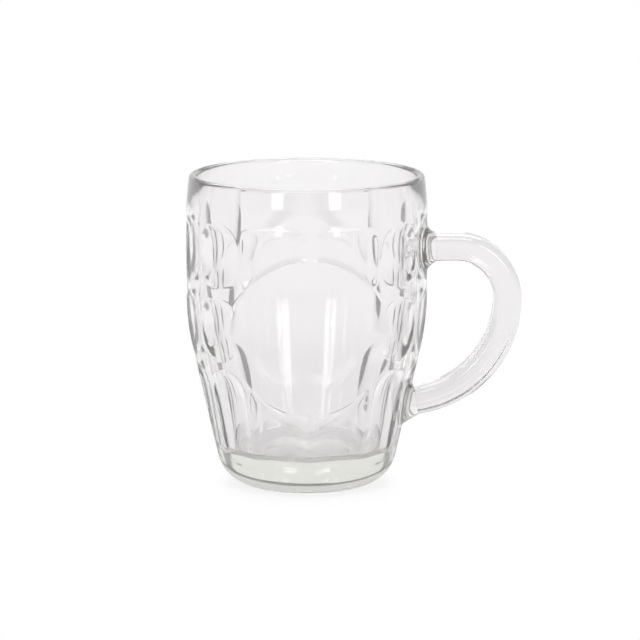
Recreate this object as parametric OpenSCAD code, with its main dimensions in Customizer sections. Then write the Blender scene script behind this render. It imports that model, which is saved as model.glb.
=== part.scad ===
// Dimpled pint mug of pressed glass, with a handle fused on at two stubs.
// Millimetres. The mug's axis is Z and it stands on z = 0.
// The plain round panels face -Y and +Y, and the handle is at +X.

/* [Body] */
// Height from the table to the crest of the rim
mug_h = 125; // [118:1:135]
// Diameter over the ribs, where the sides are straight
body_d = 96; // [92:1:102]
// How far the rim draws in from the straight sides
rim_draw = 1; // [0.5:0.1:2]
// How far below the crest of the rim the sides become straight
shoulder_drop = 17; // [14:1:22]
// Height at which the straight sides start to draw in
waist_z = 76; // [72:1:79]
// Radius of the curve from the straight sides into the tapered lower wall
waist_r = 90; // [75:1:105]
// Taper of the lower wall, in degrees
taper = 12.7; // [11:0.1:14]
// Radius of the rounded heel
heel_r = 15; // [12:0.5:16]
// Width of the flat ring that the mug stands on
foot_ring_w = 1.5; // [1:0.1:3]
// Depth of the shallow hollow under the base
punt_depth = 1.5; // [0.8:0.1:3]

/* [Inside] */
// Thickness of the rim, which is fully rounded
rim_wall = 3.4; // [2.8:0.1:4.4]
// Thickness of the wall behind the ribs
wall = 5; // [4.6:0.1:6]
// Thickness of the base in the middle of the floor
floor_t = 15; // [11:0.5:17]
// Radius between the floor and the wall, inside
floor_fillet = 3; // [2:0.5:8]

/* [Dimples] */
// Angle taken up by each of the four wide columns, next to the middle of the front and the back
wide_pitch = 35; // [33:0.5:37]
// Width of the ribs between neighbouring dimples
rib_w = 3; // [2.2:0.1:3.6]
// Height of the plain band under the crest of the rim
lip_band = 15; // [12:0.5:18]
// Height of each of the two upper rows of dimples
dimple_h = 26; // [24:0.5:27]
// Height of the plain band between two rows
row_gap = 3.5; // [2.5:0.1:5]
// Depth of the dimples of the two upper rows
dimple_depth = 2.2; // [2:0.1:2.6]
// Height of the plain band between the table and the tall flutes of the lowest row
base_band = 10.5; // [9:0.5:14]
// Depth of the flutes at mid height
flute_depth = 1.8; // [1.6:0.1:2.2]
// How much less the flutes taper than the wall, in degrees, which makes them shallower at the foot
flute_lean = 1.4; // [0.8:0.1:1.8]
// Radius of the rounded ends of the flutes
flute_end_r = 15; // [10:0.5:17]

/* [Round panels] */
// Diameter of the plain round panels at the front and the back
panel_d = 60; // [54:1:62]
// Height of their centres
panel_z = 65; // [62:0.5:68]

/* [Handle] */
// Thickness of the handle, seen from the side
handle_t = 11; // [9.5:0.5:12]
// Width of the handle, across
handle_w = 14; // [12:0.5:17]
// Corner radius of the handle's section
handle_round = 3.25; // [2:0.25:5]
// Room for the fingers between the straight sides and the handle
finger_gap = 26.7; // [24:0.1:32]
// Height of the centreline of the handle's upper run
grip_z = 95.3; // [92:0.1:98]
// Centreline radius of the upper bend
bend_r = 20.6; // [17:0.2:22]
// Centreline radius of the lower sweep
sweep_r = 42; // [39:0.5:45]
// How far the stubs under the handle's ends stand out from the body
stub_out = 3.4; // [2.4:0.1:4.5]
// How much wider the stubs are at the body than at the handle, all round
stub_flare = 2.5; // [1.5:0.1:3.5]

/* [Hidden] */
$fn = 96;

// Gap that keeps neighbouring cutters apart, in the middle of a rib
cell_gap = 0.1;
// Set-back of a stub's flare from the edge of the handle's section
flare_inset = 0.5;
// Length by which a cutter passes the surface that it cuts
over = 1;
// Least hollow of a dimple below a straight line from rib to rib
least_hollow = 0.15;
// Depth of glass left between the root of a stub and the inside of the mug
root_gap = 1;
// How far a rounding circle passes the faces that it blends, so that they cross cleanly
bite = 0.02;

body_r = body_d / 2;
lip_r = rim_wall / 2;
lip_z = mug_h - lip_r;
belly_top_z = mug_h - shoulder_drop;
shoulder_h = lip_z - belly_top_z;
shoulder_r = (pow(shoulder_h, 2) + pow(rim_draw, 2)) / (2 * rim_draw);
rim_r = body_r - rim_draw;

// Radius of the tapered wall at height z, measured a wall thickness t in from the outside
function cone_r(z, t = 0) = body_r - waist_r + (waist_r - t) / cos(taper) - (waist_z - z) * tan(taper);
// Height at which that taper, carried on, would reach the straight sides
function taper_end(t = 0) = waist_z - (waist_r - t) * (1 / cos(taper) - 1) / tan(taper);
// Height at which the waist curve passes into the taper
function cone_top(t = 0) = waist_z - (waist_r - t) * sin(taper);
// Height at which a fillet of radius r on a floor at height z leaves the taper
function fillet_top(z, r) = z + r - r * sin(taper);
// Radius of the circle on which the centre of that fillet lies
function fillet_r(z, r, t = 0) = cone_r(fillet_top(z, r), t) - r * cos(taper);

foot_r = fillet_r(0, heel_r);
punt_r = foot_r - foot_ring_w;
punt_curve_r = (pow(punt_r, 2) + pow(punt_depth, 2)) / (2 * punt_depth);

// Rib angles from the front, over one half of the mug
side_pitch = (90 - wide_pitch) / 2;
rib_angles = [0, wide_pitch, wide_pitch + side_pitch, 90, 90 + side_pitch, 180 - wide_pitch, 180];
columns = len(rib_angles) - 1;

top_z1 = mug_h - lip_band;
top_z0 = top_z1 - dimple_h;
mid_z1 = top_z0 - row_gap;
mid_z0 = mid_z1 - dimple_h;
mid_z = (mid_z0 + mid_z1) / 2;
mid_tilt = asin((waist_z - mid_z) / waist_r);
mid_r = body_r - waist_r * (1 - cos(mid_tilt));
flute_z1 = mid_z0 - row_gap;
flute_z = (base_band + flute_z1) / 2;
flute_len = (flute_z1 - base_band) / cos(taper);
flute_end = sqrt(2 * flute_end_r * flute_depth - pow(flute_depth, 2));
flute_r = cone_r(flute_z);

// Handle's centreline
reach = body_r + finger_gap + handle_t / 2;
bend_x = reach - bend_r;
bend_z = grip_z - bend_r;
sweep_x = reach - sweep_r;
seam_x = body_r + stub_out;
// Angle below the horizontal at which the sweep comes within stub_out of the tapered wall
seam_angle = taper + acos((cone_r(bend_z) + stub_out - sweep_x) * cos(taper) / sweep_r);
stub_root = stub_out + wall;
stub_angle = stub_root / sweep_r * 180 / PI;

// A slice of the half plane right of the axis, from z0 up to z1 and a bite into the next slice
module band(z0, z1) {
    translate([0, z0])
        square([body_d, z1 - z0 + bite]);
}

// The waist curve and the tapered wall, down to a rounded corner of radius r on a floor at height z
module lower_rounding(z, r, t = 0) {
    corner_z = fillet_top(z, r);
    intersection() {
        translate([body_r - waist_r, waist_z])
            circle(waist_r - t + bite);
        band(cone_top(t), waist_z);
    }
    band(corner_z, cone_top(t));
    translate([fillet_r(z, r, t), z + r])
        circle(r + bite);
    translate([0, z])
        square([fillet_r(z, r, t), corner_z - z + bite]);
}

// Outline of the outside before the dimples are pressed
module outer_outline() {
    intersection() {
        polygon([
            [0, 0],
            [cone_r(0), 0],
            [body_r, taper_end()],
            [body_r, mug_h],
            [0, mug_h]
        ]);
        union() {
            lower_rounding(0, heel_r);
            band(waist_z, belly_top_z);
            intersection() {
                translate([body_r - shoulder_r, belly_top_z])
                    circle(shoulder_r + bite);
                band(belly_top_z, mug_h);
            }
        }
    }
}

// Outline of the smooth inside, a depth t in from the outside
module inner_outline(t = wall) {
    intersection() {
        polygon([
            [0, floor_t],
            [cone_r(floor_t, t), floor_t],
            [body_r - t, taper_end(t)],
            [body_r - t, waist_z],
            [rim_r - rim_wall, lip_z],
            [rim_r - rim_wall, mug_h + over],
            [0, mug_h + over]
        ]);
        union() {
            lower_rounding(floor_t, floor_fillet, t);
            band(waist_z, mug_h + over);
        }
    }
}

// Section of the body's wall and base, with its rounded rim
module wall_outline() {
    intersection() {
        difference() {
            outer_outline();
            inner_outline();
        }
        union() {
            band(0, lip_z);
            translate([rim_r - lip_r, lip_z])
                circle(lip_r + bite);
        }
    }
}

// Hollow under the base
module punt() {
    rotate_extrude()
        intersection() {
            translate([0, punt_depth - punt_curve_r])
                circle(punt_curve_r);
            band(-over, punt_depth);
        }
}

// The part of the wall that one dimple may take up: angles a0 to a1, heights z0 to z1, from radius r outwards
module cell(a0, a1, z0, z1, r) {
    rotate([0, 0, a0])
        rotate_extrude(angle = a1 - a0)
            translate([r, z0])
                square([body_r + over - r, z1 - z0]);
}

// Horizontal radius of a cutter that is depth deep and reaches a half width at radius r
function cut_radius(half_angle, depth, r) =
    let (x = r * sin(half_angle), d = max(depth - r * (1 - cos(half_angle)), least_hollow))
    (pow(x, 2) + pow(d, 2)) / (2 * d);

// Half of the angle that a dimple takes up at radius r in a column pitch degrees wide
function half_angle(pitch, r) = pitch / 2 - asin(rib_w / 2 / r);

// Rounded cutter for one dimple of the upper rows, on a wall with vertical curvature bow
module dimple_cutter(pitch, r, bow) {
    upright_r = 1 / (8 * dimple_depth / pow(dimple_h, 2) - bow);
    level_r = cut_radius(half_angle(pitch, r), dimple_depth, r);
    translate([level_r - dimple_depth, 0, 0])
        rotate_extrude()
            intersection() {
                translate([level_r - upright_r, 0])
                    circle(upright_r);
                translate([0, -dimple_h])
                    square([level_r + over, 2 * dimple_h]);
            }
}

// Long cutter with rounded ends for one flute of the lowest row
module flute_cutter(pitch) {
    level_r = cut_radius(half_angle(pitch, flute_r), flute_depth, flute_r);
    straight = flute_len - 2 * flute_end;
    full = straight + 2 * flute_end_r;
    translate([level_r - flute_depth, 0, 0])
        rotate_extrude()
            intersection() {
                translate([0, -full / 2])
                    square([level_r, full]);
                union() {
                    translate([0, -straight / 2])
                        square([level_r, straight]);
                    translate([0, -full / 2])
                        square([level_r - flute_end_r, full]);
                    for (z = [-straight / 2, straight / 2])
                        translate([level_r - flute_end_r, z])
                            circle(flute_end_r + bite);
                }
            }
}

// The three cuts of one column between the rib angles a0 and a1
module column_cuts(a0, a1, with_middle) {
    pitch = a1 - a0;
    middle = (a0 + a1) / 2;
    b0 = a0 + cell_gap;
    b1 = a1 - cell_gap;
    half_gap = row_gap / 2 - cell_gap;
    intersection() {
        rotate([0, 0, middle])
            translate([body_r, 0, (top_z0 + top_z1) / 2])
                dimple_cutter(pitch, body_r, 0);
        cell(b0, b1, top_z0 - half_gap, top_z1 + half_gap, body_r - wall);
    }
    if (with_middle)
        intersection() {
            rotate([0, 0, middle])
                translate([mid_r, 0, mid_z])
                    rotate([0, mid_tilt, 0])
                        dimple_cutter(pitch, mid_r, 1 / waist_r);
            cell(b0, b1, mid_z0 - half_gap, mid_z1 + half_gap, cone_r(mid_z0) - wall);
        }
    intersection() {
        rotate([0, 0, middle])
            translate([flute_r, 0, flute_z])
                rotate([0, taper - flute_lean, 0])
                    flute_cutter(pitch);
        cell(b0, b1, base_band - half_gap, flute_z1 + half_gap, cone_r(base_band) - wall);
    }
}

// All the dimples, left out where the round panels are
module dimples() {
    difference() {
        for (side = [0, 180])
            for (i = [0 : columns - 1])
                rotate([0, 0, side - 90])
                    column_cuts(rib_angles[i], rib_angles[i + 1], i > 0 && i < columns - 1);
        translate([0, 0, panel_z])
            rotate([90, 0, 0])
                cylinder(d = panel_d, h = body_d + 2 * over, center = true);
    }
}

// Section of the handle: x is its thickness, y its width
module handle_section() {
    x = handle_t / 2 - handle_round;
    y = handle_w / 2 - handle_round;
    square([handle_t, 2 * y], center = true);
    square([2 * x, handle_w], center = true);
    for (i = [-1, 1], j = [-1, 1])
        translate([i * x, j * y])
            circle(handle_round);
}

// An arc of the handle about (x, z) in the X-Z plane, turning up (1) or down (-1) from an angle
module handle_arc(x, z, r, way, angle, from = 0) {
    translate([x, 0, z])
        rotate([90 * way, 0, 0])
            rotate([0, 0, from])
                rotate_extrude(angle = angle)
                    translate([r, 0])
                        handle_section();
}

// A level stretch of the handle from x0 to x1
module handle_run(x0, x1) {
    translate([x0, 0, grip_z])
        rotate([0, 90, 0])
            linear_extrude(x1 - x0)
                handle_section();
}

// Flare of a stub, from its seam with the handle at (x, z) into the wall, in the direction turn
module flare(x, z, turn) {
    seam_r = handle_t / 2 - flare_inset;
    spread = (stub_flare + flare_inset) / stub_out;
    translate([x, 0, z])
        rotate([0, turn, 0])
            cylinder(r1 = seam_r, r2 = seam_r + spread * stub_root, h = stub_root);
}

// The two stubs that the handle is fused to
module stubs() {
    handle_run(seam_x - stub_root, seam_x);
    flare(seam_x, grip_z, -90);
    handle_arc(sweep_x, bend_z, sweep_r, -1, stub_angle, seam_angle);
    flare(
        sweep_x + sweep_r * cos(seam_angle),
        bend_z - sweep_r * sin(seam_angle),
        180 + seam_angle
    );
}

// Pressed body with its dimples, round panels and stubs
module mug_body() {
    color([0.86, 0.9, 0.87, 0.6])
        union() {
            difference() {
                rotate_extrude()
                    wall_outline();
                dimples();
                punt();
            }
            difference() {
                stubs();
                rotate_extrude()
                    inner_outline(wall - root_gap);
            }
        }
}

// Handle: a level run, a tight upper bend and a wide lower sweep
module handle() {
    color([0.92, 0.9, 0.91, 0.6]) {
        handle_run(seam_x, bend_x);
        handle_arc(bend_x, bend_z, bend_r, 1, 90);
        handle_arc(sweep_x, bend_z, sweep_r, -1, seam_angle);
    }
}

mug_body();
handle();
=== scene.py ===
"""Looks of a dimpled pint mug in clear pressed glass, standing on a plain white table."""

import logging
import math
from collections.abc import Callable
from dataclasses import dataclass
from enum import Enum

import bpy
import numpy as np
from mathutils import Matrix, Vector


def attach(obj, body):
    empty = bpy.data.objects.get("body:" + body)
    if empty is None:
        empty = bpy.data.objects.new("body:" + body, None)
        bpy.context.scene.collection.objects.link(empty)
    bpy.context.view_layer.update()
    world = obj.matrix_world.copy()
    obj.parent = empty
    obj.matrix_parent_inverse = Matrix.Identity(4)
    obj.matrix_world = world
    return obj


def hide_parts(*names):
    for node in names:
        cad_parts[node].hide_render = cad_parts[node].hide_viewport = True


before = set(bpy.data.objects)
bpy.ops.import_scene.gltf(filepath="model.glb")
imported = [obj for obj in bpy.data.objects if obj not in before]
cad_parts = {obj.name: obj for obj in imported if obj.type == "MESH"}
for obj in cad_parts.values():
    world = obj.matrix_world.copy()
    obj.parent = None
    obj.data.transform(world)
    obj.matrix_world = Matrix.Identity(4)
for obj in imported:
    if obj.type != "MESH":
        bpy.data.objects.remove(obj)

LOG = logging.getLogger("dimpled_mug")
MM = 0.001
TINY = 1e-6
HALVINGS = 50
SHARP_ANGLE = math.radians(50)

# Places of mesh rings, each as a share of the way over its part of the body.
PUNT_SHARES = (0.04, 0.15, 0.32, 0.5, 0.68, 0.83, 0.94, 1.0)
BEVEL_SHARES = (0.0, 0.04, 0.3, 0.7, 0.96, 1.0)
FLOOR_SHARES = (0.995, 0.85, 0.65, 0.45, 0.25, 0.1, 0.03)
APPROACH_SHARES = (0.3, 0.58, 0.82)
FLARE_SHARES = (1.0, 0.84, 0.69, 0.55, 0.43, 0.32, 0.23, 0.155, 0.095, 0.045, 0.0)
END_SHARES = (0.985, 0.75, 0.45, 0.18)


class Face(Enum):
    """Which side of the glass a ring of the body's mesh lies on."""

    UNDERSIDE = 0
    OUTSIDE = 1
    LIP = 2
    INSIDE = 3


Pair = tuple[float, float]
Stops = tuple[Pair, ...]
Ring = tuple[float, float, Face]


class Field:
    """A number in a node tree, written with ordinary arithmetic."""

    def __init__(self, tree: bpy.types.NodeTree, socket: bpy.types.NodeSocket) -> None:
        """Wrap an output socket of a tree."""
        self.tree = tree
        self.socket = socket

    def feed(self, target: bpy.types.NodeSocket) -> None:
        """Join this field to an input."""
        self.tree.links.new(self.socket, target)

    def math(self, operation: str, *others: "Field | float") -> "Field":
        """Add a math node that takes this field as its first operand.

        Args:
            operation: The operation, as the math node spells it.
            others: The other operands, fields or plain numbers.

        Returns:
            The node's result.
        """
        node = self.tree.nodes.new("ShaderNodeMath")
        node.operation = operation
        for place, operand in zip(node.inputs, (self, *others)):
            if isinstance(operand, Field):
                operand.feed(place)
            else:
                place.default_value = operand
        return Field(self.tree, node.outputs[0])

    def __add__(self, other: "Field | float") -> "Field":
        """Sum of two fields."""
        return self.math("ADD", other)

    def __sub__(self, other: "Field | float") -> "Field":
        """Difference of two fields."""
        return self.math("SUBTRACT", other)

    def __rsub__(self, other: float) -> "Field":
        """A number less this field."""
        return self.math("MULTIPLY_ADD", -1.0, other)

    def __mul__(self, other: "Field | float") -> "Field":
        """Product of two fields."""
        return self.math("MULTIPLY", other)

    def __truediv__(self, other: "Field | float") -> "Field":
        """Quotient of two fields."""
        return self.math("DIVIDE", other)

    def __pow__(self, other: "Field | float") -> "Field":
        """This field to a power."""
        return self.math("POWER", other)

    def __abs__(self) -> "Field":
        """Size of this field, without its sign."""
        return self.math("ABSOLUTE")

    def least(self, other: "Field | float") -> "Field":
        """The smaller of two fields."""
        return self.math("MINIMUM", other)

    def most(self, other: "Field | float") -> "Field":
        """The larger of two fields."""
        return self.math("MAXIMUM", other)

    def hypot(self, other: "Field") -> "Field":
        """Length of the vector with these two components."""
        return (self * self + other * other).math("SQRT")

    def clamped(self) -> "Field":
        """This field kept between 0 and 1."""
        return self.most(0.0).least(1.0)

    def eased(self) -> "Field":
        """This field kept between 0 and 1, with soft ends."""
        t = self.clamped()
        return t * t * (3.0 - t * 2.0)

    def towards(self, other: "Field", share: "Field") -> "Field":
        """This field moved towards another by a share of the way."""
        return self + (other - self) * share

    def remapped(self, source: Pair, target: Pair, kind: str = "LINEAR") -> "Field":
        """Carry this field from one range to another, and hold it at the ends.

        Args:
            source: Range that it comes from.
            target: Values at the two ends of that range.
            kind: How it runs between them, as the node spells it.

        Returns:
            The new value.
        """
        node = self.tree.nodes.new("ShaderNodeMapRange")
        node.interpolation_type = kind
        for name, value in zip(("From Min", "From Max", "To Min", "To Max"), (*source, *target)):
            node.inputs[name].default_value = value
        self.feed(node.inputs["Value"])
        return Field(self.tree, node.outputs["Result"])

    def read_off(self, stops: Stops) -> "Field":
        """Read a level off a list of stops, at this field's place.

        Args:
            stops: Places from 0 to 1 and their levels, in order.

        Returns:
            The level.
        """
        node = self.tree.nodes.new("ShaderNodeValToRGB")
        ramp = node.color_ramp
        ramp.interpolation = "EASE"
        while len(ramp.elements) < len(stops):
            ramp.elements.new(0.5)
        for element, (place, level) in zip(ramp.elements, stops):
            element.position = place
            element.color = (level, level, level, 1.0)
        self.feed(node.inputs[0])
        return Field(self.tree, node.outputs["Color"])


Point = tuple[Field, Field, Field]


def components(tree: bpy.types.NodeTree, vector: bpy.types.NodeSocket) -> Point:
    """Take a vector apart.

    Args:
        tree: The tree that it is in.
        vector: The vector's socket.

    Returns:
        Its three components.
    """
    parts = tree.nodes.new("ShaderNodeSeparateXYZ")
    tree.links.new(vector, parts.inputs[0])
    x, y, z = (Field(tree, socket) for socket in parts.outputs)
    return x, y, z


class Recipe:
    """A Geometry Nodes tree with named size inputs, which is run once to make a plain mesh."""

    def __init__(self, name: str) -> None:
        """Start an empty tree with a mesh input and a mesh output.

        Args:
            name: Name of the tree.
        """
        self.tree = bpy.data.node_groups.new(name, "GeometryNodeTree")
        for way in ("INPUT", "OUTPUT"):
            self.tree.interface.new_socket("Mesh", in_out=way, socket_type="NodeSocketGeometry")
        self.inputs = self.tree.nodes.new("NodeGroupInput")
        self.outputs = self.tree.nodes.new("NodeGroupOutput")
        self.sizes: dict[str, float] = {}

    def size(self, name: str, value: float) -> Field:
        """Add a named size.

        Args:
            name: Name of the input.
            value: Its value, in mm, degrees or as a plain number.

        Returns:
            The input as a field.
        """
        entry = self.tree.interface.new_socket(name, in_out="INPUT", socket_type="NodeSocketFloat")
        entry.default_value = value
        self.sizes[entry.identifier] = value
        socket = next(s for s in self.inputs.outputs if s.identifier == entry.identifier)
        return Field(self.tree, socket)

    def node(self, kind: str, **settings: object) -> bpy.types.Node:
        """Add a node and set its options.

        Args:
            kind: The node's type name.
            settings: Options of the node, by name.

        Returns:
            The new node.
        """
        node = self.tree.nodes.new(kind)
        for name, value in settings.items():
            setattr(node, name, value)
        return node

    def link(self, source: bpy.types.NodeSocket, target: bpy.types.NodeSocket) -> None:
        """Join an output to an input."""
        self.tree.links.new(source, target)

    def position(self) -> Point:
        """Find where each point of the mesh is.

        Returns:
            Its X, Y and Z in mm.
        """
        place = self.node("GeometryNodeInputPosition").outputs[0]
        x, y, z = (part * (1 / MM) for part in components(self.tree, place))
        return x, y, z

    def place(self, mesh: bpy.types.NodeSocket, point: Point) -> bpy.types.NodeSocket:
        """Move points to the places given in mm.

        Args:
            mesh: The geometry to move.
            point: The new X, Y and Z.

        Returns:
            The moved geometry.
        """
        joined = self.node("ShaderNodeCombineXYZ")
        for socket, value in zip(joined.inputs, point):
            (value * MM).feed(socket)
        mover = self.node("GeometryNodeSetPosition")
        self.link(mesh, mover.inputs["Geometry"])
        self.link(joined.outputs[0], mover.inputs["Position"])
        return mover.outputs[0]

    def finish(self, mesh: bpy.types.NodeSocket, material: bpy.types.Material) -> None:
        """End the tree with real geometry in one material.

        Args:
            mesh: The geometry.
            material: The material that all of it gets.
        """
        real = self.node("GeometryNodeRealizeInstances")
        dressed = self.node("GeometryNodeSetMaterial")
        dressed.inputs["Material"].default_value = material
        self.link(mesh, real.inputs[0])
        self.link(real.outputs[0], dressed.inputs["Geometry"])
        self.link(dressed.outputs[0], self.outputs.inputs[0])

    def run(self, obj: bpy.types.Object) -> None:
        """Run the tree on an object and leave it with the plain mesh that comes out.

        Args:
            obj: The object whose mesh goes in.
        """
        modifier = obj.modifiers.new(self.tree.name, "NODES")
        modifier.node_group = self.tree
        for identifier, value in self.sizes.items():
            modifier[identifier] = value
        graph = bpy.context.evaluated_depsgraph_get()
        made = bpy.data.meshes.new_from_object(obj.evaluated_get(graph), depsgraph=graph)
        obj.modifiers.remove(modifier)
        made.name = obj.name
        obj.data = made


def new_object(name: str, data: bpy.types.ID) -> bpy.types.Object:
    """Put a mesh, a lamp or a camera into the scene as an object at the origin.

    Args:
        name: Name of the object.
        data: What it shows.

    Returns:
        The object.
    """
    obj = bpy.data.objects.new(name, data)
    bpy.context.scene.collection.objects.link(obj)
    return obj


def aim(obj: bpy.types.Object, height: float) -> Vector:
    """Turn a lamp or a camera towards a point on the mug's axis.

    Args:
        obj: The lamp or camera.
        height: Height of the point, in metres.

    Returns:
        The way from the object to the point.
    """
    sight = Vector((0.0, 0.0, height)) - obj.location
    obj.rotation_euler = sight.to_track_quat("-Z", "Y").to_euler()
    return sight


def smooth(mesh: bpy.types.Mesh) -> None:
    """Shade a mesh smooth, but for its sharp edges."""
    mesh.polygons.foreach_set("use_smooth", [True] * len(mesh.polygons))
    mesh.set_sharp_from_angle(angle=SHARP_ANGLE)


def close_in(near: np.ndarray, far: np.ndarray, holds: Callable[[np.ndarray], np.ndarray]) -> np.ndarray:
    """Find where a test stops holding, by halving.

    Args:
        near: Values at which the test holds.
        far: Values at which it doesn't.
        holds: The test.

    Returns:
        The last values at which it holds.
    """
    for _ in range(HALVINGS):
        middle = (near + far) / 2
        held = holds(middle)
        near, far = np.where(held, middle, near), np.where(held, far, middle)
    return near


@dataclass(frozen=True)
class ClearGlass:
    """Clear pressed glass: a faint tint in its depth, wavy faces and a worn foot. Sizes in metres."""

    name: str
    tint: tuple[float, float, float]
    density: float
    cast: tuple[float, float, float]
    clear: tuple[float, float, float] = (0.988, 0.975, 0.985)
    ior: float = 1.52
    wave_scale: float = 70.0
    wave_detail: float = 1.0
    wave_height: float = 0.0006
    wave_strength: float = 0.04
    haze: float = 0.08
    wear_heights: Pair = (0.00161, 0.0023)
    wear: float = 0.5

    def make(self) -> bpy.types.Material:
        """Build the material.

        Returns:
            The finished glass.
        """
        material = bpy.data.materials.new(self.name)
        material.use_nodes = True
        tree = material.node_tree
        glass = tree.nodes["Principled BSDF"]
        glass.inputs["IOR"].default_value = self.ior
        glass.inputs["Transmission Weight"].default_value = 1.0 - self.haze
        depth = tree.nodes.new("ShaderNodeVolumeAbsorption")
        depth.inputs["Color"].default_value = (*self.tint, 1.0)
        depth.inputs["Density"].default_value = self.density
        tree.links.new(depth.outputs[0], tree.nodes["Material Output"].inputs["Volume"])
        where = tree.nodes.new("ShaderNodeTexCoord").outputs["Object"]
        self.add_waves(tree, where, glass)
        self.add_wear(tree, where, glass)
        return material

    def add_waves(
        self, tree: bpy.types.NodeTree, where: bpy.types.NodeSocket, glass: bpy.types.Node
    ) -> None:
        """Give the faces the slow waves of pressed glass and a breath of uneven colour.

        Args:
            tree: The material's tree.
            where: Object coordinates.
            glass: The shader.
        """
        noise = tree.nodes.new("ShaderNodeTexNoise")
        noise.inputs["Scale"].default_value = self.wave_scale
        noise.inputs["Detail"].default_value = self.wave_detail
        tree.links.new(where, noise.inputs["Vector"])
        bump = tree.nodes.new("ShaderNodeBump")
        bump.inputs["Strength"].default_value = self.wave_strength
        bump.inputs["Distance"].default_value = self.wave_height
        tree.links.new(noise.outputs["Fac"], bump.inputs["Height"])
        tree.links.new(bump.outputs[0], glass.inputs["Normal"])
        ramp = tree.nodes.new("ShaderNodeValToRGB")
        for element, colour in zip(ramp.color_ramp.elements, (self.cast, self.clear)):
            element.color = (*colour, 1.0)
        tree.links.new(noise.outputs["Fac"], ramp.inputs[0])
        tree.links.new(ramp.outputs[0], glass.inputs["Base Color"])

    def add_wear(
        self, tree: bpy.types.NodeTree, where: bpy.types.NodeSocket, glass: bpy.types.Node
    ) -> None:
        """Dull the ring that the mug stands on, as it is after some use.

        Args:
            tree: The material's tree.
            where: Object coordinates.
            glass: The shader.
        """
        _, _, z = components(tree, where)
        z.remapped(self.wear_heights, (self.wear, 0.0)).feed(glass.inputs["Roughness"])


@dataclass
class Stub:
    """Short stump on the body that one end of the handle is fused to. Sizes in mm and degrees."""

    name: str
    seam_x: float
    seam_z: float
    lean: float
    flare: float
    half_y: float
    half_t: float
    corner: float
    length: float = 3.4
    search_limit: float = 40.0

    @property
    def axis(self) -> np.ndarray:
        """Direction in which the stub stands out."""
        return np.array([math.cos(math.radians(self.lean)), 0.0, math.sin(math.radians(self.lean))])

    @property
    def upright(self) -> np.ndarray:
        """Direction across the stub's end, square to its axis and to Y."""
        return np.array([-self.axis[2], 0.0, self.axis[0]])

    def clearance(self, across: np.ndarray, along: np.ndarray) -> np.ndarray:
        """Distance of points in the plane of the end from its outline.

        Args:
            across: Offsets from the middle of the end along Y.
            along: Offsets square to those.

        Returns:
            The distances, below 0 inside the outline.
        """
        over_y = np.maximum(np.abs(across) - self.half_y + self.corner, 0.0)
        over_t = np.maximum(np.abs(along) - self.half_t + self.corner, 0.0)
        return np.hypot(over_y, over_t) - self.corner

    def reach(self, angle: np.ndarray, gap: float) -> np.ndarray:
        """Distance from the middle of the stub's end to a line round its outline.

        Args:
            angle: Directions in the plane of the end.
            gap: How far outside the outline the wanted line lies.

        Returns:
            The distance in each direction.
        """
        across, along = np.cos(angle), np.sin(angle)
        near, far = np.zeros_like(angle), np.full_like(angle, self.search_limit)
        return close_in(near, far, lambda d: self.clearance(d * across, d * along) < gap)


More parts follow.
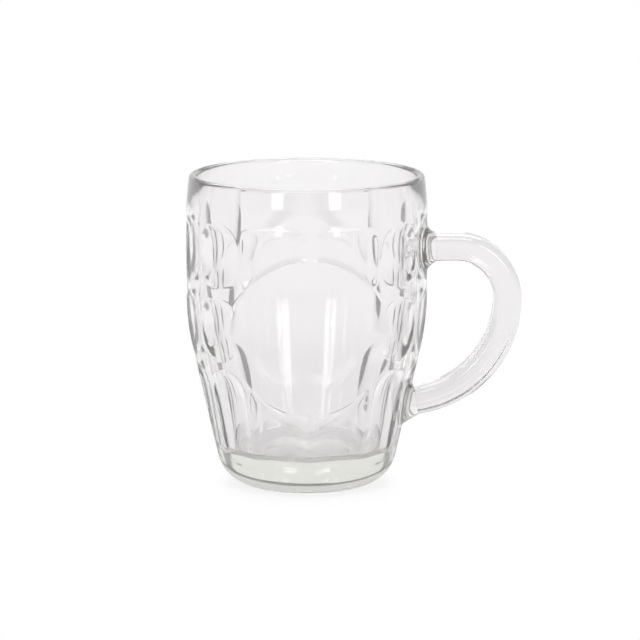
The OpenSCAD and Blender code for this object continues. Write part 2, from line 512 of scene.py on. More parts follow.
@dataclass
class PressedBody:
    """Body of the mug, with its dimples, its round panels and the two stubs. Sizes in mm and degrees."""

    material: bpy.types.Material
    stubs: tuple[Stub, Stub]

    # The turned form.
    height: float = 125.0
    radius: float = 47.99
    rim_draw: float = 1.0
    shoulder_drop: float = 17.0
    waist_z: float = 76.0
    waist_r: float = 90.0
    taper: float = 12.7
    heel_r: float = 15.0
    foot_ring: float = 1.5
    punt: float = 1.5
    rim_wall: float = 3.4
    wall: float = 5.0
    floor: float = 15.0
    floor_fillet: float = 3.0

    # The dimples. Rows are lowest and highest edges, and powers say how flat they are across and along.
    wide_pitch: float = 35.0
    rib: float = 1.8
    top_row: Pair = (84.0, 110.0)
    middle_row: Pair = (54.5, 80.5)
    flutes: Pair = (10.5, 51.0)
    dimple_depth: float = 2.2
    dimple_least: float = 0.5
    flute_depth: float = 1.8
    flute_lean: float = 0.95
    scoop_powers: Pair = (2.0, 2.4)
    wide_powers: Pair = (2.4, 7.0)
    flute_powers: Pair = (2.0, 4.5)
    edge_softness: float = 0.04

    # The round panels, with the widths of the bevels round them.
    panel_r: float = 31.0
    panel_z: float = 66.2
    panel_edge: float = 0.95
    panel_foot_edge: float = 1.6
    panel_sink: float = 0.14
    back_panel_edge: float = 4.5

    # The mesh: columns in a dimple, rings, and how they draw together at edges.
    steps: int = 40
    rib_pull: float = 0.5
    heel_rings: int = 20
    lip_rings: int = 13
    neck_rings: int = 9
    bowl_rings: int = 18
    ring_gap: float = 1.2
    least_gap: float = 0.42
    edge_pull: float = 0.75
    edge_reach: float = 2.6
    height_samples: int = 4000
    bevel_lead: float = 0.12
    gather_pull: float = 0.8
    gather_reach: float = 7.0
    patch_turn: float = 17.5
    patch_margin: float = 2.2
    search_range: Pair = (-2.0, 30.0)

    @property
    def lip_r(self) -> float:
        """Radius of the rounded lip."""
        return self.rim_wall / 2

    @property
    def lip_z(self) -> float:
        """Height of the centre of the rounded lip."""
        return self.height - self.lip_r

    @property
    def slope(self) -> float:
        """Taper of the lower wall in radians."""
        return math.radians(self.taper)

    def cone(self, z: np.ndarray | float, depth: float = 0.0) -> np.ndarray | float:
        """Radius of the tapered wall.

        Args:
            z: Heights.
            depth: How far inside the outer face.

        Returns:
            The radius at each height.
        """
        start = self.radius - self.waist_r + (self.waist_r - depth) / math.cos(self.slope)
        return start - (self.waist_z - z) * math.tan(self.slope)

    def side(self, z: np.ndarray, depth: float = 0.0) -> np.ndarray:
        """Radius of the wall above the heel, before the dimples.

        Args:
            z: Heights.
            depth: How far inside the outer face.

        Returns:
            The radius at each height.
        """
        bow = self.waist_r - depth
        drop = np.clip(self.waist_z - z, 0.0, bow * math.sin(self.slope))
        radius = self.radius - self.waist_r + np.sqrt(bow**2 - drop**2)
        return np.where(self.waist_z - z > bow * math.sin(self.slope), self.cone(z, depth), radius)

    def outside(self, z: np.ndarray) -> np.ndarray:
        """Radius of the outer face from the heel to the lip, before the dimples.

        Args:
            z: Heights.

        Returns:
            The radius at each height.
        """
        start = self.height - self.shoulder_drop
        rise = self.lip_z - start
        arc = (rise**2 + self.rim_draw**2) / (2 * self.rim_draw)
        up = np.clip(z - start, 0.0, rise)
        return self.side(z) - arc + np.sqrt(arc**2 - up**2)

    def stands_out(self, points: np.ndarray) -> np.ndarray:
        """Tell which points lie outside the plain outer face."""
        return np.hypot(points[:, 0], points[:, 1]) > self.outside(points[:, 2])

    def heel_corner(self, z: float, fillet: float, depth: float = 0.0) -> Pair:
        """Where a rounded corner leaves the tapered wall.

        Args:
            z: Height of the flat that the corner starts from.
            fillet: Radius of the corner.
            depth: How far inside the outer face the wall is.

        Returns:
            The radius of the corner's centre, and the height at its end.
        """
        top = z + fillet * (1 - math.sin(self.slope))
        return self.cone(top, depth) - fillet * math.cos(self.slope), top

    def ring_heights(self, low: float, high: float) -> np.ndarray:
        """Heights of the rings of the outer face, closer together at the edges of the rows.

        Args:
            low: First height.
            high: Last height.

        Returns:
            All the heights.
        """
        z = np.linspace(low, high, self.height_samples)
        edges = np.array([*self.top_row, *self.middle_row, *self.flutes])
        near = np.exp(-(((z[:, None] - edges) / self.edge_reach) ** 2)).sum(1)
        spacing = np.maximum(self.ring_gap - self.edge_pull * near, self.least_gap)
        count = np.concatenate([[0.0], np.cumsum((z[1] - z[0]) / spacing[1:])])
        return np.interp(np.linspace(0.0, count[-1], int(count[-1]) + 1), count, z)

    def rings(self) -> list[Ring]:
        """Section of the glass, from under the middle of the base to the middle of the floor inside.

        Returns:
            Radius, height and face of each ring.
        """
        foot_r, heel_top = self.heel_corner(0.0, self.heel_r)
        punt_r = foot_r - self.foot_ring
        dome = (punt_r**2 + self.punt**2) / (2 * self.punt)
        section: list[Ring] = []
        for r in punt_r * np.array(PUNT_SHARES):
            section.append((r, self.punt - dome + math.sqrt(dome**2 - r**2), Face.UNDERSIDE))
        section.append((foot_r - self.foot_ring / 2, 0.0, Face.UNDERSIDE))
        for turn in np.linspace(-math.pi / 2, -self.slope, self.heel_rings)[:-1]:
            r = foot_r + self.heel_r * math.cos(turn)
            section.append((r, self.heel_r * (1 + math.sin(turn)), Face.OUTSIDE))
        for z in self.ring_heights(heel_top, self.lip_z):
            section.append((float(self.outside(np.array(z))), float(z), Face.OUTSIDE))
        lip_middle = self.radius - self.rim_draw - self.lip_r
        for turn in np.linspace(0.0, math.pi, self.lip_rings)[1:-1]:
            r = lip_middle + self.lip_r * math.cos(turn)
            section.append((r, self.lip_z + self.lip_r * math.sin(turn), Face.LIP))
        section.extend(self.inner_rings(lip_middle - self.lip_r))
        return section

    def inner_rings(self, mouth_r: float) -> list[Ring]:
        """Smooth inside of the mug, from the lip down to the middle of the floor.

        Args:
            mouth_r: Inner radius at the lip.

        Returns:
            Radius, height and face of each ring.
        """
        corner_r, corner_top = self.heel_corner(self.floor, self.floor_fillet, self.wall)
        neck_r = self.radius - self.wall
        inside: list[Ring] = []
        for z in np.linspace(self.lip_z, self.waist_z, self.neck_rings)[:-1]:
            share = (z - self.waist_z) / (self.lip_z - self.waist_z)
            inside.append((neck_r + (mouth_r - neck_r) * share, float(z), Face.INSIDE))
        bowl = np.linspace(self.waist_z, corner_top, self.bowl_rings)[:-1]
        for z in (*bowl, corner_top + self.bevel_lead):
            inside.append((float(self.side(np.array(z), self.wall)), float(z), Face.INSIDE))
        start_r = float(self.cone(corner_top, self.wall))
        for share in BEVEL_SHARES:
            r = start_r + (corner_r - start_r) * share
            inside.append((r, corner_top + (self.floor - corner_top) * share, Face.INSIDE))
        inside.extend((corner_r * share, self.floor, Face.INSIDE) for share in FLOOR_SHARES)
        return inside

    def spokes(self) -> np.ndarray:
        """Angles of the mesh's columns from the front, closer together at the ribs.

        Returns:
            All the angles, in radians.
        """
        narrow = (90.0 - self.wide_pitch) / 2
        half = [self.wide_pitch, narrow, narrow, narrow, narrow, self.wide_pitch]
        t = np.arange(self.steps) / self.steps
        eased = t - self.rib_pull * np.sin(2 * math.pi * t) / (2 * math.pi)
        starts = np.concatenate([[0.0], np.cumsum(half + half)])[:-1]
        return np.radians(np.concatenate([s + p * eased for s, p in zip(starts, half + half)]))

    def gather(self, x: np.ndarray, z: np.ndarray) -> tuple[np.ndarray, np.ndarray]:
        """Draw mesh lines together at the edge of a round panel.

        Args:
            x: Offsets from the panel's centre line.
            z: Heights.

        Returns:
            The moved offsets and heights.
        """
        away = np.hypot(x, z - self.panel_z)
        gap = away - self.panel_r
        pull = self.gather_pull * np.clip(1 - (gap / self.gather_reach) ** 2, 0.0, 1.0) ** 2
        scale = (away - gap * pull) / np.maximum(away, TINY)
        return x * scale, self.panel_z + (z - self.panel_z) * scale

    def lay_mesh(self) -> bpy.types.Mesh:
        """Lay the plain turned form, with patches that follow the stubs.

        Returns:
            A closed mesh, with the attribute "pressed" marking the outer face.
        """
        section = self.rings()
        spokes = self.spokes()
        count = len(spokes)
        r, z = (np.array([ring[k] for ring in section])[:, None] for k in (0, 1))
        x, y = r * np.sin(spokes), -r * np.cos(spokes)
        z = np.broadcast_to(z, x.shape).copy()
        outer = np.array([ring[2] is Face.OUTSIDE for ring in section])
        wall = outer & (r[:, 0] >= self.outside(z[:, 0]) - TINY)
        wall[np.flatnonzero(wall)[[0, -1]]] = False
        new_x, new_z = self.gather(x[wall], z[wall])
        new_r = self.outside(new_z)
        y[wall] = np.sign(y[wall]) * np.sqrt(np.maximum(new_r**2 - new_x**2, 0.0))
        x[wall], z[wall] = new_x, new_z
        points = np.stack([x, y, z], -1).reshape(-1, 3)
        pressed = np.repeat(outer.astype(float), count)
        j, i = np.meshgrid(np.arange(len(section) - 1), np.arange(count), indexing="ij")
        k = (i + 1) % count
        quads = np.stack([j * count + i, j * count + k, (j + 1) * count + k, (j + 1) * count + i], -1)
        kept = np.ones(j.shape, bool)
        patches: list[list[int]] = []
        for stub in self.stubs:
            loop = self.cut_patch(stub, kept, z, spokes, np.flatnonzero(wall))
            patch_points, patch_faces = self.patch(stub, points, loop, len(points))
            points = np.concatenate([points, patch_points])
            pressed = np.concatenate([pressed, np.ones(len(patch_points))])
            patches.extend(patch_faces)
        poles = np.array([[0.0, 0.0, self.punt], [0.0, 0.0, self.floor]])
        first, last = len(points), len(points) + 1
        points = np.concatenate([points, poles])
        pressed = np.concatenate([pressed, [0.0, 0.0]])
        ends = [[first, (n + 1) % count, n] for n in range(count)]
        top = (len(section) - 1) * count
        ends += [[last, top + n, top + (n + 1) % count] for n in range(count)]
        return self.mesh_of(points, quads[kept].tolist() + patches + ends, pressed)

    def cut_patch(
        self, stub: Stub, kept: np.ndarray, z: np.ndarray, spokes: np.ndarray, wall: np.ndarray
    ) -> np.ndarray:
        """Open the mesh where a stub stands.

        Args:
            stub: The stub.
            kept: Marks of the faces that stay, changed in place.
            z: Heights of the points, by ring and column.
            spokes: Angles of the columns.
            wall: Numbers of the rings of the wall.

        Returns:
            Numbers of the points round the opening, in order.
        """
        count = len(spokes)
        column = np.flatnonzero(np.abs(np.degrees(spokes) - 90.0) < self.patch_turn)
        heights = z[:, column[len(column) // 2]]
        root = stub.seam_z - stub.length * stub.axis[2]
        row = wall[np.abs(heights[wall] - root) < stub.half_t + stub.flare + self.patch_margin]
        kept[row[0] : row[-1], column[0] : column[-1]] = False
        loop = [row[0] * count + c for c in column[:-1]]
        loop += [n * count + column[-1] for n in row[:-1]]
        loop += [row[-1] * count + c for c in column[:0:-1]]
        loop += [n * count + column[0] for n in row[:0:-1]]
        return np.array(loop)

    def patch(
        self, stub: Stub, points: np.ndarray, loop: np.ndarray, start: int
    ) -> tuple[np.ndarray, list[list[int]]]:
        """Fill an opening with rings that follow the stub's outline.

        Args:
            stub: The stub.
            points: All the points so far.
            loop: Numbers of the points round the opening.
            start: Number that the first new point gets.

        Returns:
            The new points, and the faces.
        """
        seam = np.array([stub.seam_x, 0.0, stub.seam_z])
        offset = points[loop] - seam
        across, along = offset[:, 1], offset @ stub.upright
        angle, border = np.arctan2(along, across), np.hypot(across, along)
        foot = stub.reach(angle, stub.flare)
        lengths = [border + (foot - border) * share for share in APPROACH_SHARES]
        lengths += [stub.reach(angle, stub.flare * share) for share in FLARE_SHARES]
        lengths += [lengths[-1] * share for share in END_SHARES]
        rings = [np.stack([a * np.cos(angle), a * np.sin(angle)], -1) for a in lengths]
        flat = np.concatenate([*rings, np.zeros((1, 2))])
        ends = seam + flat[:, :1] * [0.0, 1.0, 0.0] + flat[:, 1:] * stub.upright
        size = len(loop)
        faces: list[list[int]] = []
        outer = loop
        for n in range(len(rings)):
            inner = start + n * size + np.arange(size)
            quads = np.stack([outer, np.roll(outer, -1), np.roll(inner, -1), inner], -1)
            faces.extend(quads.tolist())
            outer = inner
        middle = start + len(rings) * size
        faces.extend([[int(a), int(b), middle] for a, b in zip(outer, np.roll(outer, -1))])
        return self.drop_to_wall(ends, stub.axis), faces

    def drop_to_wall(self, starts: np.ndarray, axis: np.ndarray) -> np.ndarray:
        """Carry points along a stub's axis to the plain outer face.

        Args:
            starts: Points outside the wall.
            axis: Direction away from the wall.

        Returns:
            The points on the wall.
        """
        near, far = (np.full(len(starts), end) for end in self.search_range)
        depth = close_in(near, far, lambda d: self.stands_out(starts - d[:, None] * axis))
        return starts - depth[:, None] * axis

    @staticmethod
    def mesh_of(points: np.ndarray, faces: list[list[int]], pressed: np.ndarray) -> bpy.types.Mesh:
        """Make a mesh of the points that the faces use.

        Args:
            points: Places in mm.
            faces: Faces by point number.
            pressed: Mark of each point.

        Returns:
            The mesh, in metres.
        """
        used = np.zeros(len(points), bool)
        for face in faces:
            used[face] = True
        number = np.cumsum(used) - 1
        mesh = bpy.data.meshes.new("mug_body")
        mesh.from_pydata((points[used] * MM).tolist(), [], [number[face].tolist() for face in faces])
        mesh.attributes.new("pressed", "FLOAT", "POINT").data.foreach_set("value", pressed[used])
        return mesh

    def press(self) -> Recipe:
        """Write the rule that presses the dimples and draws out the stubs.

        Returns:
            The rule, ready to run on the plain turned form.
        """
        rule = Recipe("press_dimples")
        x, y, z = rule.position()
        mark = rule.node("GeometryNodeInputNamedAttribute", data_type="FLOAT")
        mark.inputs["Name"].default_value = "pressed"
        pressed = Field(rule.tree, mark.outputs["Attribute"])
        r = x.hypot(y)
        across, side = self.column_place(rule, x, y, r)
        spot = (across, z)
        top = self.row_cut(rule, "Top row", self.top_row, self.scoop_powers, spot)
        wide = self.row_cut(rule, "Wide top row", self.top_row, self.wide_powers, spot)
        middle = self.row_cut(rule, "Middle row", self.middle_row, self.scoop_powers, spot)
        low = self.row_cut(rule, "Flutes", self.flutes, self.flute_powers, spot)
        cut = (wide.towards(top, side) + middle * side) * rule.size("Dimple depth", self.dimple_depth)
        lean = (z * 2.0 - sum(self.flutes)) / (self.flutes[1] - self.flutes[0])
        lean = lean * rule.size("Flute lean", self.flute_lean) + 1.0
        cut = cut + low * lean * rule.size("Flute depth", self.flute_depth)
        rim = self.panel_rim(rule, x, y, z)
        cut = (cut * rim + (1.0 - rim) * rule.size("Panel sink", self.panel_sink)) * pressed
        shrink = 1.0 - cut / r.most(TINY)
        place = (x * shrink, y * shrink, z)
        for stub in self.stubs:
            place = self.draw_stub(rule, stub, (x, y, z), place, pressed)
        rule.finish(rule.place(rule.inputs.outputs[0], place), self.material)
        return rule

    def panel_rim(self, rule: Recipe, x: Field, y: Field, z: Field) -> Field:
        """Part the round panels from the dimpled wall, with a bevel that widens to the front panel's foot.

        Args:
            rule: The rule being written.
            x: X of the point.
            y: Y of the point.
            z: Z of the point.

        Returns:
            0 on a panel, 1 on the wall, and a share between them on the bevel.
        """
        height = z - rule.size("Panel height", self.panel_z)
        panel_r = rule.size("Panel radius", self.panel_r)
        foot = (0.5 - height / panel_r).clamped()
        behind = y.math("GREATER_THAN", 0.0)
        edge = rule.size("Front panel edge", self.panel_edge)
        edge = edge.towards(rule.size("Front panel foot edge", self.panel_foot_edge), foot)
        edge = edge.towards(rule.size("Back panel edge", self.back_panel_edge), behind)
        return ((x.hypot(height) - panel_r) / edge).clamped()

    def column_place(self, rule: Recipe, x: Field, y: Field, r: Field) -> tuple[Field, Field]:
        """Find where a point lies in its column of dimples.

        Args:
            rule: The rule being written.
            x: X of the point.
            y: Y of the point.
            r: Its distance from the mug's axis.

        Returns:
            Offset from the column's middle, 1 at the edge of a dimple, and 1 in the side columns or 0.
        """
        wide = rule.size("Wide pitch", self.wide_pitch)
        rib = rule.size("Rib width", self.rib)
        narrow = (90.0 - wide) * 0.5
        turn = abs(x.math("ARCTAN2", y * -1.0) * math.degrees(1.0))
        fold = 90.0 - abs(turn - 90.0)
        side = fold.math("GREATER_THAN", wide)
        number = ((fold - wide) / narrow).math("FLOOR")
        start = side * (wide + narrow * number)
        half = wide.towards(narrow, side) * 0.5
        mm_per_degree = r * math.radians(1.0)
        edge = (half * mm_per_degree - rib * 0.5).most(self.dimple_least)
        return abs(fold - start - half) * mm_per_degree / edge, side

    def row_cut(self, rule: Recipe, name: str, row: Pair, powers: Pair, spot: tuple[Field, Field]) -> Field:
        """Shape of the dimples in one row.

        Args:
            rule: The rule being written.
            name: Name of the row.
            row: Lowest and highest edge.
            powers: How flat the dimples are across and along: 2 for a scoop, more for a flatter one.
            spot: Offset from the column's middle, 1 at the edge of a dimple, and height.

        Returns:
            Share of the full depth.
        """
        across, z = spot
        low = rule.size(f"{name} low edge", row[0])
        high = rule.size(f"{name} high edge", row[1])
        soft = rule.size(f"{name} softness", self.edge_softness)
        along = abs(z - (low + high) * 0.5) / ((high - low) * 0.5)
        across = across ** rule.size(f"{name} power across", powers[0])
        depth = 1.0 - across - along ** rule.size(f"{name} power along", powers[1])
        blend = ((depth + soft) / (soft * 2.0)).clamped()
        return soft * blend * blend + (depth - soft).most(0.0)

    def draw_stub(self, rule: Recipe, stub: Stub, base: Point, place: Point, pressed: Field) -> Point:
        """Draw the glass out to the end of a stub.

        Args:
            rule: The rule being written.
            stub: The stub.
            base: Point on the plain turned form.
            place: The same point once the dimples are pressed.
            pressed: 1 on the outer face, 0 elsewhere.

        Returns:
            The point's new place.
        """
        x, y, z = base
        lean_x, _, lean_z = (float(part) for part in stub.axis)
        out_x = rule.size(f"{stub.name} seam X", stub.seam_x) - x
        out_z = rule.size(f"{stub.name} seam Z", stub.seam_z) - z
        flare = rule.size(f"{stub.name} flare", stub.flare)
        along = out_x * lean_z - out_z * lean_x
        gap_y = (abs(y) - (stub.half_y - stub.corner)).most(0.0)
        gap_t = (abs(along) - (stub.half_t - stub.corner)).most(0.0)
        near = (1.0 - (gap_y.hypot(gap_t) - stub.corner) / flare).clamped()
        share = near * near * x.math("GREATER_THAN", 0.0) * pressed
        reach = out_x * lean_x + out_z * lean_z
        target = (x + reach * lean_x, y, z + reach * lean_z)
        return tuple(old.towards(new, share) for old, new in zip(place, target))

    def build(self) -> bpy.types.Object:
        """Make the body.

        Returns:
            The finished piece.
        """
        piece = new_object("pressed_body", self.lay_mesh())
        self.press().run(piece)
        piece.data.attributes.remove(piece.data.attributes["pressed"])
        smooth(piece.data)
        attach(piece, "root")
        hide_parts("mug_body")
        return piece


@dataclass
class Handle:
    """Handle of solid glass, swept along a level run, a bend and a long curve. Sizes in mm and degrees."""

    material: bpy.types.Material
    start_x: float = 51.4
    grip_z: float = 95.3
    reach: float = 80.2
    bend_r: float = 20.6
    sweep_r: float = 42.0
    sweep_turn: float = 82.3
    thickness: float = 11.0
    width: float = 14.0
    corner: float = 3.25
    sink: float = 0.05
    upper_flare: float = 4.0
    lower_flare: float = 4.4
    rings: int = 880
    corner_steps: int = 20
    points: int = 110
    crease_out: float = 2.4
    crease_half: float = 1.2
    crease_depth: float = 0.34
    crease_fade: float = 12.0
    crease_side: float = 3.0

    @property
    def sweep_x(self) -> float:
        """X of the centre of the long curve."""
        return self.reach - self.sweep_r

    @property
    def sweep_z(self) -> float:
        """Height of the centre of the long curve."""
        return self.grip_z - self.bend_r

    def stubs(self) -> tuple[Stub, Stub]:
        """Shape the stubs on the body that the two ends meet.

        Returns:
            The upper and the lower stub.
        """
        section = (self.width / 2, self.thickness / 2, self.corner)
        turn = math.radians(self.sweep_turn)
        end_x = self.sweep_x + self.sweep_r * math.cos(turn)
        end_z = self.sweep_z - self.sweep_r * math.sin(turn)
        return (
            Stub("Upper stub", self.start_x, self.grip_z, 0.0, self.upper_flare, *section),
            Stub("Lower stub", end_x, end_z, 90.0 - self.sweep_turn, self.lower_flare, *section),
        )

    def sweep(self) -> Recipe:
        """Write the rule that sweeps the section along the handle's path.

        Returns:
            The rule, which needs no mesh to start from.
        """
        rule = Recipe("sweep_handle")
        start = rule.size("Start X", self.start_x - self.sink)
        grip = rule.size("Grip height", self.grip_z)
        bend_r = rule.size("Bend radius", self.bend_r)
        sweep_r = rule.size("Sweep radius", self.sweep_r)
        turn = rule.size("Sweep angle", self.sweep_turn) * math.radians(1.0)
        run = rule.size("Reach", self.reach) - bend_r - start
        bend = bend_r * (math.pi / 2)
        line = rule.node("GeometryNodeMeshLine", mode="OFFSET")
        line.inputs["Count"].default_value = self.rings
        index = Field(rule.tree, rule.node("GeometryNodeInputIndex").outputs[0])
        length = run + bend + sweep_r * turn + self.sink
        travelled = index / (self.rings - 1.0) * length
        bent = ((travelled - run) / bend_r).most(0.0).least(math.pi / 2)
        swept = ((travelled - run - bend) / sweep_r).most(0.0)
        x = start + travelled.least(run) + bend_r * bent.math("SINE")
        x = x - sweep_r * (1.0 - swept.math("COSINE"))
        z = grip - bend_r * (1.0 - bent.math("COSINE")) - sweep_r * swept.math("SINE")
        path = rule.node("GeometryNodeMeshToCurve")
        rule.link(rule.place(line.outputs[0], (x, x * 0.0, z)), path.inputs[0])
        bar = rule.node("GeometryNodeCurveToMesh")
        rule.link(path.outputs[0], bar.inputs["Curve"])
        rule.link(self.section(rule), bar.inputs["Profile Curve"])
        bar.inputs["Fill Caps"].default_value = True
        rule.finish(self.crease(rule, bar.outputs[0]), self.material)
        return rule

    def crease(self, rule: Recipe, bar: bpy.types.NodeSocket) -> bpy.types.NodeSocket:
        """Draw a shallow crease along both sides of the lower curve, near its outer edge.

        Args:
            rule: The rule being written.
            bar: The swept bar.

        Returns:
            The creased bar.
        """
        x, y, z = rule.position()
        down = self.sweep_z - z
        out = (x - self.sweep_x).hypot(down) - self.sweep_r
        near = out - rule.size("Crease place", self.crease_out)
        near = near / rule.size("Crease half width", self.crease_half)
        near = (1.0 - near * near).most(0.0)
        depth = near * near * (down / self.crease_fade).eased()
        depth = depth * rule.size("Crease depth", self.crease_depth)
        depth = depth * abs(y).math("GREATER_THAN", self.crease_side)
        return rule.place(bar, (x, y - y.math("SIGN") * depth, z))

    def section(self, rule: Recipe) -> bpy.types.NodeSocket:
        """Section of the handle, a bar with well rounded corners.

        Args:
            rule: The rule being written.

        Returns:
            The section as a curve.
        """
        bar = rule.node("GeometryNodeCurvePrimitiveQuadrilateral")
        (rule.size("Width", self.width) * MM).feed(bar.inputs["Width"])
        (rule.size("Thickness", self.thickness) * MM).feed(bar.inputs["Height"])
        rounded = rule.node("GeometryNodeFilletCurve", mode="POLY")
        rounded.inputs["Count"].default_value = self.corner_steps
        (rule.size("Corner radius", self.corner) * MM).feed(rounded.inputs["Radius"])
        rule.link(bar.outputs[0], rounded.inputs["Curve"])
        even = rule.node("GeometryNodeResampleCurve")
        even.inputs["Count"].default_value = self.points
        rule.link(rounded.outputs[0], even.inputs["Curve"])
        return even.outputs[0]

    def build(self) -> bpy.types.Object:
        """Make the handle.

        Returns:
            The finished piece.
        """
        piece = new_object("glass_handle", bpy.data.meshes.new("glass_handle"))
        self.sweep().run(piece)
        smooth(piece.data)
        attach(piece, "root")
        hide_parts("handle")
        return piece


@dataclass(frozen=True)
class WhiteTop:
    """Matt white of the table, which keeps a soft shadow round the mug; reflections and views through glass
    see a painted shadow there instead. Distances in metres.
    """

    colour: tuple[float, float, float] = (0.95, 0.95, 0.95)
    roughness: float = 0.9
    # Painted shadow: emission strengths by distance from the middle of the table, darker near and under the
    # mug, seen only in reflections and through glass.
    levels: Stops = ((0.0, 0.6), (0.042, 0.6), (0.055, 0.9), (0.22, 0.9), (0.36, 1.0))
    shadow_share: float = 0.2
    shadow_range: Pair = (0.03, 0.13)

    def make(self) -> bpy.types.Material:
        """Build the material, which the camera sees plain white but for a share of its real shadow, and
        which reflections and views through glass see with a painted shadow near the mug.

        Returns:
            The finished white.
        """
        material = bpy.data.materials.new("white_table")
        material.use_nodes = True
        tree = material.node_tree
        plain = tree.nodes["Principled BSDF"]
        plain.inputs["Base Color"].default_value = (*self.colour, 1.0)
        plain.inputs["Roughness"].default_value = self.roughness
        plain.inputs["Specular IOR Level"].default_value = 0.0
        rays = tree.nodes.new("ShaderNodeLightPath")
        camera, glossy, through = (
            Field(tree, rays.outputs[f"Is {kind} Ray"]) for kind in ("Camera", "Glossy", "Transmission")
        )
        length = tree.nodes.new("ShaderNodeVectorMath")
        length.operation = "LENGTH"
        tree.links.new(tree.nodes.new("ShaderNodeTexCoord").outputs["Object"], length.inputs[0])
        away = Field(tree, length.outputs["Value"])
        white = tree.nodes.new("ShaderNodeEmission")
        # Painted shadow: glossy and transmission rays see this white dimmed near the mug by the levels;
        # camera rays see it at full strength.
        camera.most(away.read_off(self.levels)).feed(white.inputs["Strength"])
        fade = away.remapped(self.shadow_range, (1.0 - self.shadow_share, 1.0), "SMOOTHSTEP")
        mix = tree.nodes.new("ShaderNodeMixShader")
        (camera * fade).most(glossy).most(through).feed(mix.inputs[0])
        tree.links.new(plain.outputs[0], mix.inputs[1])
        tree.links.new(white.outputs[0], mix.inputs[2])
        tree.links.new(mix.outputs[0], tree.nodes["Material Output"].inputs["Surface"])
        return material


@dataclass
class SoftBox:
    """Large soft lamp aimed at the mug. Sizes in metres, power in watts."""

    name: str
    place: tuple[float, float, float]
    width: float
    height: float
    power: float
    foot: float = 1.0
    aim_z: float = 0.06

    def build(self) -> bpy.types.Object:
        """Hang the lamp.

        Returns:
            The lamp.
        """
        lamp = bpy.data.lights.new(self.name, "AREA")
        lamp.shape = "RECTANGLE"
        lamp.size, lamp.size_y = self.width, self.height
        lamp.energy = self.power
        self.add_fall_off(lamp)
        obj = new_object(self.name, lamp)
        obj.location = self.place
        aim(obj, self.aim_z)
        return obj

    def add_fall_off(self, lamp: bpy.types.Light) -> None:
        """Let the lamp get weaker towards its lower edge.

        Args:
            lamp: The lamp.
        """
        lamp.use_nodes = True
        tree = lamp.node_tree
        _, up, _ = components(tree, tree.nodes.new("ShaderNodeNewGeometry").outputs["Parametric"])
        up.remapped((0.0, 1.0), (self.foot, 1.0)).feed(tree.nodes["Emission"].inputs["Strength"])


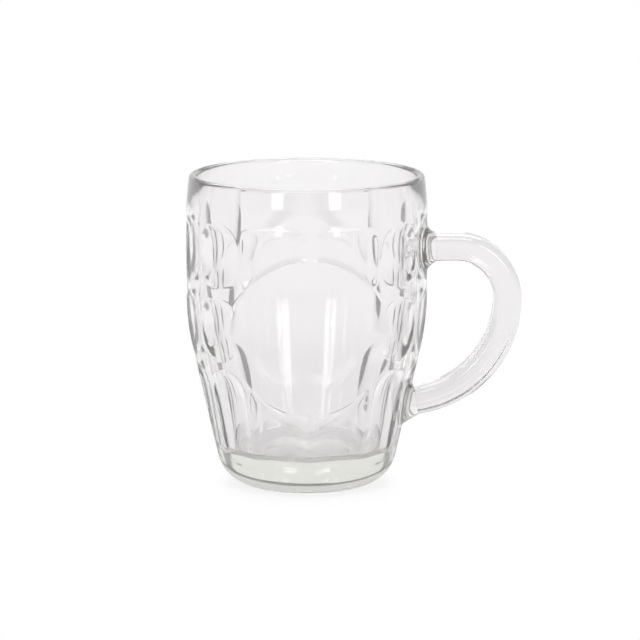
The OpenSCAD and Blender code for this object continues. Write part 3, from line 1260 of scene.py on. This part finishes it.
@dataclass
class Studio:
    """White table and tent with soft light, and the camera. Sizes in metres."""

    table_size: float = 8.0
    table_top: WhiteTop = WhiteTop()
    round_levels: Stops = (
        (0.0, 1.0),
        (0.27, 1.0),
        (0.29, 0.35),
        (0.33, 0.35),
        (0.35, 0.95),
        (0.62, 0.95),
        (0.68, 0.65),
        (0.8, 0.55),
        (1.0, 0.5),
    )
    rise_levels: Stops = ((0.0, 1.0), (0.27, 1.0), (0.29, 0.3), (0.37, 0.3), (0.39, 0.9), (1.0, 0.9))
    camera_distance: float = 1.44
    camera_turn: float = -1.55
    camera_rise: float = 0.3284
    aim_z: float = 0.0658
    metres_per_pixel: float = 0.0004
    centre_pixel: float = 306.8
    picture: int = 640
    sensor_mm: float = 36.0
    lamps: tuple[SoftBox, ...] = (
        SoftBox("left_box", (-0.776, -1.4, 0.46), width=0.34, height=0.7, power=5.0, foot=0.45),
        SoftBox("right_box", (0.676, -1.45, 0.46), width=0.34, height=0.7, power=5.0, foot=0.45),
        SoftBox("top_box", (0.0, -0.6, 1.15), width=0.9, height=0.5, power=7.0),
        SoftBox("back_box", (0.0, 0.9, 1.0), width=1.2, height=0.5, power=12.0),
    )

    def build_table(self) -> bpy.types.Object:
        """Lay the white table.

        Returns:
            The table.
        """
        half = self.table_size / 2
        mesh = bpy.data.meshes.new("table")
        corners = [(-half, -half, 0.0), (half, -half, 0.0), (half, half, 0.0), (-half, half, 0.0)]
        mesh.from_pydata(corners, [], [(0, 1, 2, 3)])
        mesh.materials.append(self.table_top.make())
        table = new_object("table", mesh)
        return table

    def build_tent(self) -> None:
        """Hang the white tent: a full white backdrop, paler sides and top, and a dim front."""
        world = bpy.data.worlds.new("tent")
        bpy.context.scene.world = world
        world.use_nodes = True
        tree = world.node_tree
        light = tree.nodes["Background"]
        light.inputs["Color"].default_value = (1.0, 1.0, 1.0, 1.0)
        x, y, z = components(tree, tree.nodes.new("ShaderNodeTexCoord").outputs["Generated"])
        turn = abs(x.math("ARCTAN2", y)) / math.pi
        tent = turn.read_off(self.round_levels) * z.most(0.0).read_off(self.rise_levels)
        rays = tree.nodes.new("ShaderNodeLightPath")
        tent.most(Field(tree, rays.outputs["Is Camera Ray"])).feed(light.inputs["Strength"])

    def build_camera(self) -> bpy.types.Object:
        """Set the camera at the photograph's angle.

        Returns:
            The camera.
        """
        lens = bpy.data.cameras.new("camera")
        camera = new_object("camera", lens)
        turn = math.radians(self.camera_turn)
        camera.location = (
            math.sin(turn) * self.camera_distance,
            -math.cos(turn) * self.camera_distance,
            self.camera_rise,
        )
        sight = aim(camera, self.aim_z)
        lens.sensor_width = self.sensor_mm
        lens.lens = lens.sensor_width * sight.length / (self.picture * self.metres_per_pixel)
        lens.shift_x = (self.picture / 2 - self.centre_pixel) / self.picture
        bpy.context.scene.camera = camera
        return camera

    def build(self) -> None:
        """Set up the table, the tent, the lamps and the camera."""
        self.build_table()
        self.build_tent()
        for lamp in self.lamps:
            lamp.build()
        self.build_camera()
        bpy.context.scene.view_settings.view_transform = "Standard"


def main() -> None:
    """Build the mug and its studio."""
    logging.basicConfig(level=logging.INFO, format="%(name)s: %(message)s")
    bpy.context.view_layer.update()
    body_glass = ClearGlass(
        "pressed_glass", tint=(0.73, 0.75, 0.66), density=12.0, cast=(0.968, 0.953, 0.963)
    ).make()
    handle_glass = ClearGlass(
        "drawn_glass",
        tint=(0.74, 0.73, 0.73),
        density=34.0,
        cast=(0.98, 0.966, 0.974),
        wave_scale=30.0,
        wave_strength=0.02,
    ).make()
    handle = Handle(handle_glass)
    for maker in (PressedBody(body_glass, handle.stubs()), handle):
        piece = maker.build()
        LOG.info("%s: %d faces", piece.name, len(piece.data.polygons))
    Studio().build()
    bpy.context.view_layer.update()


if __name__ == "__main__":
    main()
